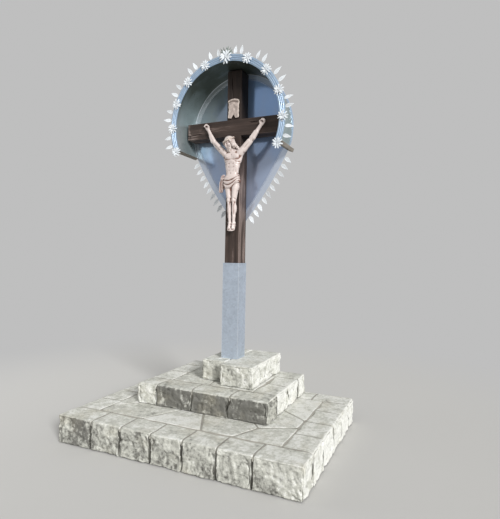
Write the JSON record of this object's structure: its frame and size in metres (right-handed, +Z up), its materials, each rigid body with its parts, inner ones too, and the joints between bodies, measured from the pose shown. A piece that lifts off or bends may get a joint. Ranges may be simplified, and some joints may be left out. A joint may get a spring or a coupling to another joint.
{
  "type": "wayside shrine",
  "caption": "Wayside shrine: timber cross with a carved figure under a horseshoe sheet-metal hood and teardrop back panel, trimmed with metal leaves, on stepped stonework.",
  "frame": {"origin": "on the ground under the post's axis, at the lowest ground that the stonework reaches", "axes": "+Z up, -Y towards the front that the figure faces, +X to a viewer's right"},
  "size_m": [2.04, 1.527, 3.2992],
  "materials": {
    "border_stone": "rock-faced, weathered",
    "paving_stone": "split slabs, worn",
    "rubble_bed": "rubble and mortar",
    "step_stone": "rough-hewn, weathered",
    "plinth_stone": "rough-hewn, weathered",
    "galvanised_sheet": "hot-dip galvanised, mottled",
    "polished_sheet": "polished stainless sheet",
    "leaf_metal": "embossed, bright",
    "stained_timber": "dark-brown stain, dry",
    "weathered_batten": "weathered",
    "scroll_wood": "carved, satin",
    "carved_wood": "carved, satin varnish",
    "carved_cloth": "carved, satin varnish",
    "thorn_wood": "carved, satin varnish",
    "iron_nail": "blackened"
  },
  "bodies": {
    "root": {"lower_front_stones": "border_stone", "lower_left_stones": "border_stone", "lower_right_stones": "border_stone", "lower_back_stones": "border_stone", "lower_bed": "rubble_bed", "lower_paving": "paving_stone", "upper_front_stones": "step_stone", "upper_left_stones": "step_stone", "upper_right_stones": "step_stone", "upper_back_stones": "step_stone", "upper_bed": "step_stone", "plinth_stone_left": "plinth_stone", "plinth_stone_right": "plinth_stone", "post_sleeve": "galvanised_sheet", "sleeve_hem": "galvanised_sheet", "post": "stained_timber", "cross_beam": "stained_timber", "hood_barrel": "polished_sheet", "hood_front_ring": "polished_sheet", "batten_left": "weathered_batten", "batten_right": "weathered_batten", "back_panel": "polished_sheet", "panel_beads": "polished_sheet", "panel_leaves_left": "leaf_metal", "panel_leaves_right": "leaf_metal", "rim_leaves_left": "leaf_metal", "rim_leaves_right": "leaf_metal", "rim_flowers_left": "leaf_metal", "rim_flowers_right": "leaf_metal", "crest_flower": "leaf_metal", "crest_spray": "leaf_metal", "scroll_plate": "scroll_wood", "figure_trunk": "carved_wood", "figure_legs": "carved_wood", "figure_arm_left": "carved_wood", "figure_arm_right": "carved_wood", "loincloth": "carved_cloth", "cloth_tail": "carved_cloth", "thorn_crown": "thorn_wood", "hand_nails": "iron_nail", "foot_nails": "iron_nail"}
  },
  "joints": []
}
